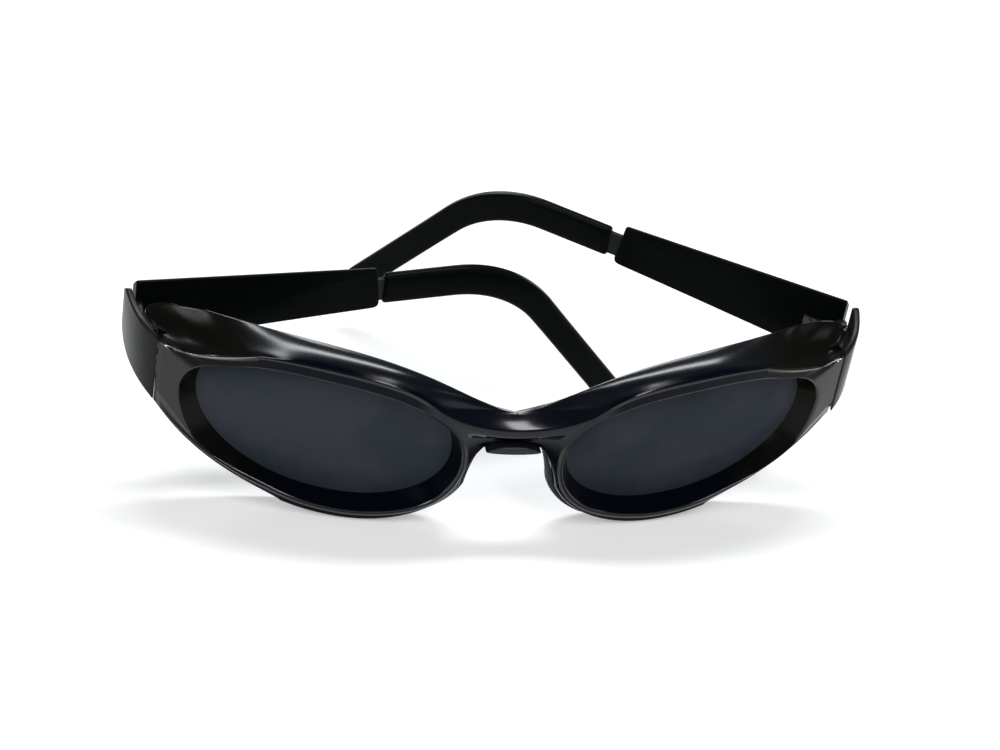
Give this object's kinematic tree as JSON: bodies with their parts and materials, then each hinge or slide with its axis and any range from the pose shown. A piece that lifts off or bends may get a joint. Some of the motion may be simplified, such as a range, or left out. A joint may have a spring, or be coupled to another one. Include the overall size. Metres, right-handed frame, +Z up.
{
  "type": "goggle sunglasses",
  "caption": "Wraparound goggle sunglasses with deep oval rims, hollow leaf-shaped brow shields, flat folding temples and sliding ear tips.",
  "frame": {"origin": "middle of the bounding box's underside, on the table that the glasses lie on", "axes": "+X to the viewer's right across the front, +Y from the lenses back to the ear tips, +Z up"},
  "size_m": [0.14, 0.1, 0.0418],
  "materials": {
    "frame_plastic": "glossy black with a faint blue tint",
    "lens": "dark grey tinted, semi-gloss",
    "end_piece_plastic": "glossy black",
    "insert_plastic": "black, semi-gloss",
    "pad": "fine texture",
    "temple_plastic": "glossy black",
    "tip_plastic": "glossy black",
    "tongue_coat": "steel, coated black",
    "spring_steel": "bright spring steel",
    "hinge_metal": "black nickel, satin"
  },
  "bodies": {
    "front": {"front_frame": "frame_plastic", "lens_left": "lens", "lens_right": "lens", "bridge_insert": "insert_plastic", "nose_pad_left": "pad", "nose_pad_right": "pad", "end_piece_left": "end_piece_plastic", "end_piece_right": "end_piece_plastic", "end_pins_left": "hinge_metal", "end_pins_right": "hinge_metal", "hinge_leaf_front_left": "hinge_metal", "hinge_leaf_front_right": "hinge_metal", "hinge_screw_left": "hinge_metal", "hinge_screw_right": "hinge_metal", "front_leaf_rivets_left": "hinge_metal", "front_leaf_rivets_right": "hinge_metal"},
    "left_arm": {"temple_left": "temple_plastic", "hinge_leaf_temple_left": "hinge_metal", "temple_leaf_rivets_left": "hinge_metal", "detent_spring_left": "spring_steel"},
    "left_tip": {"temple_tip_left": "tip_plastic", "tip_tongue_left": "tongue_coat"},
    "right_arm": {"temple_right": "temple_plastic", "hinge_leaf_temple_right": "hinge_metal", "temple_leaf_rivets_right": "hinge_metal", "detent_spring_right": "spring_steel"},
    "right_tip": {"temple_tip_right": "tip_plastic", "tip_tongue_right": "tongue_coat"}
  },
  "joints": [
    {"name": "left_hinge", "type": "hinge", "parent": "front", "child": "left_arm", "pos_m": [-0.0675, -0.02303, 0.03098], "axis": [0, -0.1978, 0.9802], "range_deg": [-13, 77]},
    {"name": "right_hinge", "type": "hinge", "parent": "front", "child": "right_arm", "pos_m": [0.0675, -0.02303, 0.03098], "axis": [0, 0.1978, -0.9802], "range_deg": [-15, 53]},
    {"name": "left_tip_slide", "type": "slide", "parent": "left_arm", "child": "left_tip", "axis": [0.9744, 0.2205, 0.0445], "range_m": [-0.0007, 0.0071]},
    {"name": "right_tip_slide", "type": "slide", "parent": "right_arm", "child": "right_tip", "axis": [-0.7986, 0.5899, 0.1191], "range_m": [-0.0018, 0.006]}
  ]
}
